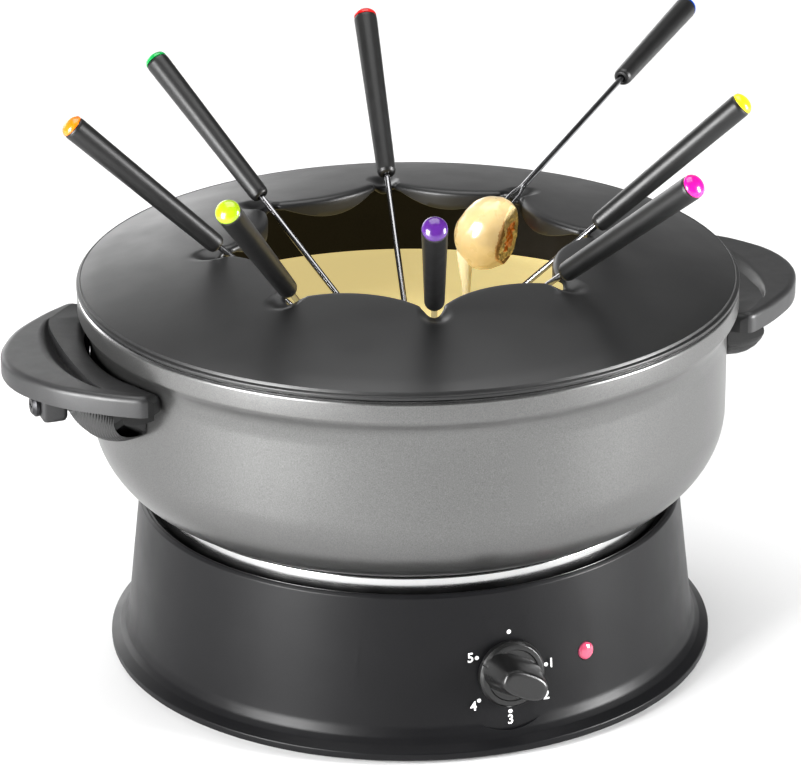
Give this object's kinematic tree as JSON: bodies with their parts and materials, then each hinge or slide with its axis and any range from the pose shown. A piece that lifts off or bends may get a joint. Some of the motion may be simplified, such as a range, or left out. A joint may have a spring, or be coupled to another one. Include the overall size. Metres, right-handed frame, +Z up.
{
  "type": "electric fondue set",
  "caption": "Electric fondue set: heated round stand with dial and lamp, lift-off two-handled bowl, notched guard ring and long forks with coloured caps.",
  "frame": {"origin": "on the table, under the centre of the stand and bowl", "axes": "+X towards the right side handle seen from the dial, -Y towards the dial, +Z up"},
  "size_m": [0.3672, 0.311, 0.2305],
  "materials": {
    "stand_black": "fine satin texture",
    "zinc_steel": "zinc-plated, dull",
    "foot_rubber": "matt",
    "bright_steel": "polished steel ring",
    "cast_plate": "plain casting",
    "element_steel": "heat-stained tube",
    "ceramic": "ceramic",
    "inner_plastic": "moulded insulation",
    "spindle_steel": "turned steel",
    "knob_black": "smooth satin",
    "lens_red": "clear tinted",
    "lamp_glass": "clear",
    "grommet_black": "matt",
    "bowl_grey": "metallic grey enamel, fine sparkle; dark non-stick inside",
    "handle_black": "satin phenolic",
    "bracket_black": "satin phenolic",
    "ring_black": "satin black, fine texture",
    "fork_steel": "polished stainless",
    "fork_black": "satin",
    "cap_purple": "glossy",
    "cap_magenta": "glossy",
    "cap_yellow": "glossy",
    "cap_blue": "glossy",
    "cap_red": "glossy",
    "cap_green": "glossy",
    "cap_orange": "glossy",
    "cap_lime": "glossy"
  },
  "bodies": {
    "base": {"base_housing": "stand_black", "base_plate": "zinc_steel", "base_screw_1": "zinc_steel", "base_screw_2": "zinc_steel", "base_screw_3": "zinc_steel", "foot_1": "foot_rubber", "foot_2": "foot_rubber", "foot_3": "foot_rubber", "foot_4": "foot_rubber", "reflector_dish": "bright_steel", "heating_plate": "cast_plate", "heating_element": "element_steel", "thermal_fuse": "ceramic", "thermostat_body": "inner_plastic", "thermostat_nut": "zinc_steel", "indicator_lens": "lens_red", "indicator_lamp": "lamp_glass", "terminal_block": "inner_plastic", "cord_inlet": "grommet_black"},
    "knob": {"knob": "knob_black", "thermostat_spindle": "spindle_steel"},
    "bowl": {"bowl": "bowl_grey", "handle_left": "handle_black", "handle_right": "handle_black", "handle_bracket_left": "bracket_black", "handle_bracket_right": "bracket_black", "handle_screw_left": "zinc_steel", "handle_screw_right": "zinc_steel"},
    "guard_ring": {"guard_ring": "ring_black"},
    "fork_1": {"fork_steel_1": "fork_steel", "fork_handle_1": "fork_black", "fork_cap_1": "cap_purple"},
    "fork_2": {"fork_steel_2": "fork_steel", "fork_handle_2": "fork_black", "fork_cap_2": "cap_magenta"},
    "fork_3": {"fork_steel_3": "fork_steel", "fork_handle_3": "fork_black", "fork_cap_3": "cap_yellow"},
    "fork_4": {"fork_steel_4": "fork_steel", "fork_handle_4": "fork_black", "fork_cap_4": "cap_blue"},
    "fork_5": {"fork_steel_5": "fork_steel", "fork_handle_5": "fork_black", "fork_cap_5": "cap_red"},
    "fork_6": {"fork_steel_6": "fork_steel", "fork_handle_6": "fork_black", "fork_cap_6": "cap_green"},
    "fork_7": {"fork_steel_7": "fork_steel", "fork_handle_7": "fork_black", "fork_cap_7": "cap_orange"},
    "fork_8": {"fork_steel_8": "fork_steel", "fork_handle_8": "fork_black", "fork_cap_8": "cap_lime"}
  },
  "joints": [
    {"name": "bowl_lift", "type": "slide", "parent": "base", "child": "bowl", "axis": [0, 0, 1], "range_m": [0, 0.15]},
    {"name": "ring_lift", "type": "slide", "parent": "bowl", "child": "guard_ring", "axis": [0, 0, 1], "range_m": [0, 0.15]},
    {"name": "knob_turn", "type": "hinge", "parent": "base", "child": "knob", "pos_m": [0, -0.11414, 0.032], "axis": [0, -0.9935, 0.1136], "range_deg": [0, 297]},
    {"name": "fork_1_slide", "type": "slide", "parent": "guard_ring", "child": "fork_1", "axis": [-0.2557, -0.7064, 0.66], "range_m": [0, 0.15]},
    {"name": "fork_2_slide", "type": "slide", "parent": "guard_ring", "child": "fork_2", "axis": [0.4009, -0.6645, 0.6307], "range_m": [0, 0.15]},
    {"name": "fork_3_slide", "type": "slide", "parent": "guard_ring", "child": "fork_3", "axis": [0.6661, -0.3106, 0.6782], "range_m": [0, 0.15]},
    {"name": "fork_4_slide", "type": "slide", "parent": "guard_ring", "child": "fork_4", "axis": [0.6995, 0.6995, 0.1461], "range_m": [-0.04, 0.06]},
    {"name": "fork_5_slide", "type": "slide", "parent": "guard_ring", "child": "fork_5", "axis": [0.1356, 0.7247, 0.6756], "range_m": [0, 0.15]},
    {"name": "fork_6_slide", "type": "slide", "parent": "guard_ring", "child": "fork_6", "axis": [-0.3484, 0.7369, 0.5793], "range_m": [0, 0.15]},
    {"name": "fork_7_slide", "type": "slide", "parent": "guard_ring", "child": "fork_7", "axis": [-0.7123, 0.1372, 0.6884], "range_m": [0, 0.15]},
    {"name": "fork_8_slide", "type": "slide", "parent": "guard_ring", "child": "fork_8", "axis": [-0.4809, -0.5711, 0.6652], "range_m": [0, 0.15]}
  ]
}
